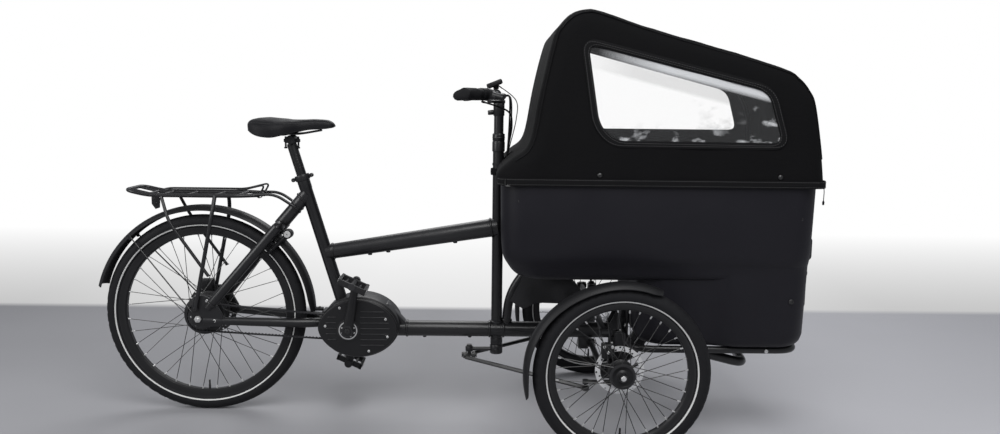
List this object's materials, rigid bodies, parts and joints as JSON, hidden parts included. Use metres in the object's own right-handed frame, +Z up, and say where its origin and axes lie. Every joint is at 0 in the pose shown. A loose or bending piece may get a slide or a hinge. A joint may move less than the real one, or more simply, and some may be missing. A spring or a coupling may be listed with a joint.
{
  "type": "cargo tricycle",
  "caption": "Tilting front-loading cargo tricycle: hooded box with door and bench between steered front wheels, belt-driven rear wheel, carrier and saddle behind.",
  "frame": {"origin": "on the ground at the middle of the cycle's length and width", "axes": "+X the way it rides, +Y the rider's left, +Z up"},
  "size_m": [2.2632, 0.884, 1.3],
  "materials": {
    "frame_paint": "satin black powder coat",
    "black_alloy": "black anodised or painted",
    "bare_steel": "bare, lightly brushed",
    "plastic": "fine matt grain",
    "box_plastic": "moulded, fine matt grain",
    "tyre": "treaded, matt",
    "rubber": "matt",
    "fabric": "woven, matt black",
    "saddle_cover": "synthetic cover, low sheen",
    "clear_film": "clear flexible film"
  },
  "bodies": {
    "frame": {"main_frame": "frame_paint", "motor_housing": "plastic", "drive_belt": "rubber", "rear_axle": "bare_steel", "rear_mudguard": "plastic", "rear_carrier": "black_alloy", "ring_lock": "black_alloy", "rear_caliper": "black_alloy", "seat_clamp": "black_alloy", "cargo_box": "box_plastic", "floor_frame": "frame_paint", "bench_seat": "fabric", "battery_pack": "plastic", "hood_fabric": "fabric", "hood_frame": "bare_steel", "hood_window_right": "clear_film", "hood_window_left": "clear_film", "cable_loom": "rubber"},
    "front_door": {"front_door": "box_plastic"},
    "carrier_clip": {"carrier_clip": "black_alloy"},
    "rear_wheel": {"rear_tyre": "tyre", "rear_wheel": "black_alloy", "rear_disc": "bare_steel"},
    "rear_pulley": {"rear_pulley": "black_alloy"},
    "front_pulley": {"front_pulley": "black_alloy"},
    "crank": {"crank_right": "black_alloy", "crank_left": "black_alloy"},
    "pedal_right": {"pedal_right": "plastic"},
    "pedal_left": {"pedal_left": "plastic"},
    "seat": {"seat_post": "black_alloy", "saddle": "saddle_cover", "saddle_rails": "bare_steel"},
    "steering": {"steering_column": "frame_paint", "stem": "black_alloy", "handlebar": "black_alloy", "grip_left": "rubber", "grip_right": "rubber", "display": "plastic"},
    "brake_lever_right": {"brake_lever_right": "black_alloy"},
    "brake_lever_left": {"brake_lever_left": "black_alloy"},
    "twist_shifter": {"twist_shifter": "plastic"},
    "lower_tilt_beam": {"lower_tilt_beam": "frame_paint"},
    "upper_tilt_beam": {"upper_tilt_beam": "frame_paint"},
    "tie_rod_pin": {"tie_rod_pin": "bare_steel"},
    "tie_rod_right": {"tie_rod_right": "black_alloy"},
    "tie_rod_left": {"tie_rod_left": "black_alloy"},
    "carrier_right": {"carrier_right": "black_alloy"},
    "knuckle_right": {"knuckle_right": "black_alloy", "front_caliper_right": "black_alloy", "front_mudguard_right": "plastic"},
    "front_wheel_right": {"front_tyre_right": "tyre", "front_wheel_right": "black_alloy", "front_disc_right": "bare_steel"},
    "carrier_left": {"carrier_left": "black_alloy"},
    "knuckle_left": {"knuckle_left": "black_alloy", "front_caliper_left": "black_alloy", "front_mudguard_left": "plastic"},
    "front_wheel_left": {"front_tyre_left": "tyre", "front_wheel_left": "black_alloy", "front_disc_left": "bare_steel"}
  },
  "joints": [
    {"name": "rear_wheel_spin", "type": "hinge", "parent": "frame", "child": "rear_wheel", "pos_m": [-0.78339, 0, 0.328], "axis": [0, 1, 0], "continuous": true},
    {"name": "crank_spin", "type": "hinge", "parent": "frame", "child": "crank", "pos_m": [-0.30439, 0, 0.293], "axis": [0, 1, 0], "continuous": true},
    {"name": "front_pulley_spin", "type": "hinge", "parent": "frame", "child": "front_pulley", "pos_m": [-0.30439, 0, 0.293], "axis": [0, 1, 0], "continuous": true},
    {"name": "rear_pulley_spin", "type": "hinge", "parent": "frame", "child": "rear_pulley", "pos_m": [-0.78339, 0, 0.328], "axis": [0, 1, 0], "continuous": true},
    {"name": "pedal_right_spin", "type": "hinge", "parent": "crank", "child": "pedal_right", "pos_m": [-0.27522, -0.093, 0.45845], "axis": [0, 1, 0], "continuous": true},
    {"name": "pedal_left_spin", "type": "hinge", "parent": "crank", "child": "pedal_left", "pos_m": [-0.33357, 0.093, 0.12755], "axis": [0, 1, 0], "continuous": true},
    {"name": "seat_height", "type": "slide", "parent": "frame", "child": "seat", "axis": [-0.2891, 0, 0.9573], "range_m": [-0.06, 0.04]},
    {"name": "steer", "type": "hinge", "parent": "frame", "child": "steering", "pos_m": [0.17561, 0, 0.905], "axis": [0, 0, 1], "range_deg": [-20, 20], "deforming": ["cable_loom"]},
    {"name": "tilt", "type": "hinge", "parent": "frame", "child": "lower_tilt_beam", "pos_m": [0.49261, 0, 0.235], "axis": [1, 0, 0], "range_deg": [-15, 15]},
    {"name": "upper_beam_turn", "type": "hinge", "parent": "frame", "child": "upper_tilt_beam", "pos_m": [0.49261, 0, 0.36], "axis": [1, 0, 0], "range_deg": [-15, 15]},
    {"name": "tie_rod_pin_turn", "type": "hinge", "parent": "steering", "child": "tie_rod_pin", "pos_m": [0.08561, 0, 0.19], "axis": [0, 0, 1], "range_deg": [-20, 20]},
    {"name": "carrier_right_level", "type": "hinge", "parent": "lower_tilt_beam", "child": "carrier_right", "pos_m": [0.49261, -0.325, 0.235], "axis": [1, 0, 0], "range_deg": [-15, 15]},
    {"name": "knuckle_right_turn", "type": "hinge", "parent": "carrier_right", "child": "knuckle_right", "pos_m": [0.52861, -0.325, 0.235], "axis": [0, 0, 1], "range_deg": [-20, 20]},
    {"name": "front_wheel_right_spin", "type": "hinge", "parent": "knuckle_right", "child": "front_wheel_right", "pos_m": [0.53361, -0.4, 0.257], "axis": [0, 1, 0], "continuous": true},
    {"name": "tie_rod_right_tilt", "type": "hinge", "parent": "tie_rod_pin", "child": "tie_rod_right", "pos_m": [0.08561, 0, 0.19], "axis": [1, 0, 0], "range_deg": [-15, 15]},
    {"name": "brake_lever_right_pull", "type": "hinge", "parent": "steering", "child": "brake_lever_right", "pos_m": [0.18329, -0.16983, 1.042], "axis": [0, 0, -1], "range_deg": [0, 15], "stiffness_Nm_per_rad": 0.8},
    {"name": "carrier_left_level", "type": "hinge", "parent": "lower_tilt_beam", "child": "carrier_left", "pos_m": [0.49261, 0.325, 0.235], "axis": [1, 0, 0], "range_deg": [-15, 15]},
    {"name": "knuckle_left_turn", "type": "hinge", "parent": "carrier_left", "child": "knuckle_left", "pos_m": [0.52861, 0.325, 0.235], "axis": [0, 0, 1], "range_deg": [-20, 20]},
    {"name": "front_wheel_left_spin", "type": "hinge", "parent": "knuckle_left", "child": "front_wheel_left", "pos_m": [0.53361, 0.4, 0.257], "axis": [0, 1, 0], "continuous": true},
    {"name": "tie_rod_left_tilt", "type": "hinge", "parent": "tie_rod_pin", "child": "tie_rod_left", "pos_m": [0.08561, 0, 0.19], "axis": [1, 0, 0], "range_deg": [-15, 15]},
    {"name": "brake_lever_left_pull", "type": "hinge", "parent": "steering", "child": "brake_lever_left", "pos_m": [0.18329, 0.16983, 1.042], "axis": [0, 0, 1], "range_deg": [0, 15], "stiffness_Nm_per_rad": 0.8},
    {"name": "twist_shifter_turn", "type": "hinge", "parent": "steering", "child": "twist_shifter", "pos_m": [0.11651, -0.22291, 1.052], "axis": [-0.3644, -0.9312, 0], "range_deg": [-45, 45]},
    {"name": "front_door_swing", "type": "hinge", "parent": "frame", "child": "front_door", "pos_m": [1.12441, 0.217, 0.412], "axis": [0, 0, 1], "range_deg": [0, 110]},
    {"name": "carrier_clip_lift", "type": "hinge", "parent": "frame", "child": "carrier_clip", "pos_m": [-0.59339, 0, 0.724], "axis": [0, 1, 0], "range_deg": [0, 60], "stiffness_Nm_per_rad": 0.6}
  ],
  "couplings": [
    {"joint": "front_pulley_spin", "follows": "crank_spin", "ratio": 2.5},
    {"joint": "rear_pulley_spin", "follows": "crank_spin", "ratio": 2.1154},
    {"joint": "upper_beam_turn", "follows": "tilt", "ratio": 1},
    {"joint": "tie_rod_pin_turn", "follows": "steer", "ratio": -1},
    {"joint": "carrier_right_level", "follows": "tilt", "ratio": -1},
    {"joint": "tie_rod_right_tilt", "follows": "tilt", "ratio": 1},
    {"joint": "knuckle_right_turn", "follows": "steer", "ratio": 1},
    {"joint": "carrier_left_level", "follows": "tilt", "ratio": -1},
    {"joint": "tie_rod_left_tilt", "follows": "tilt", "ratio": 1},
    {"joint": "knuckle_left_turn", "follows": "steer", "ratio": 1}
  ]
}
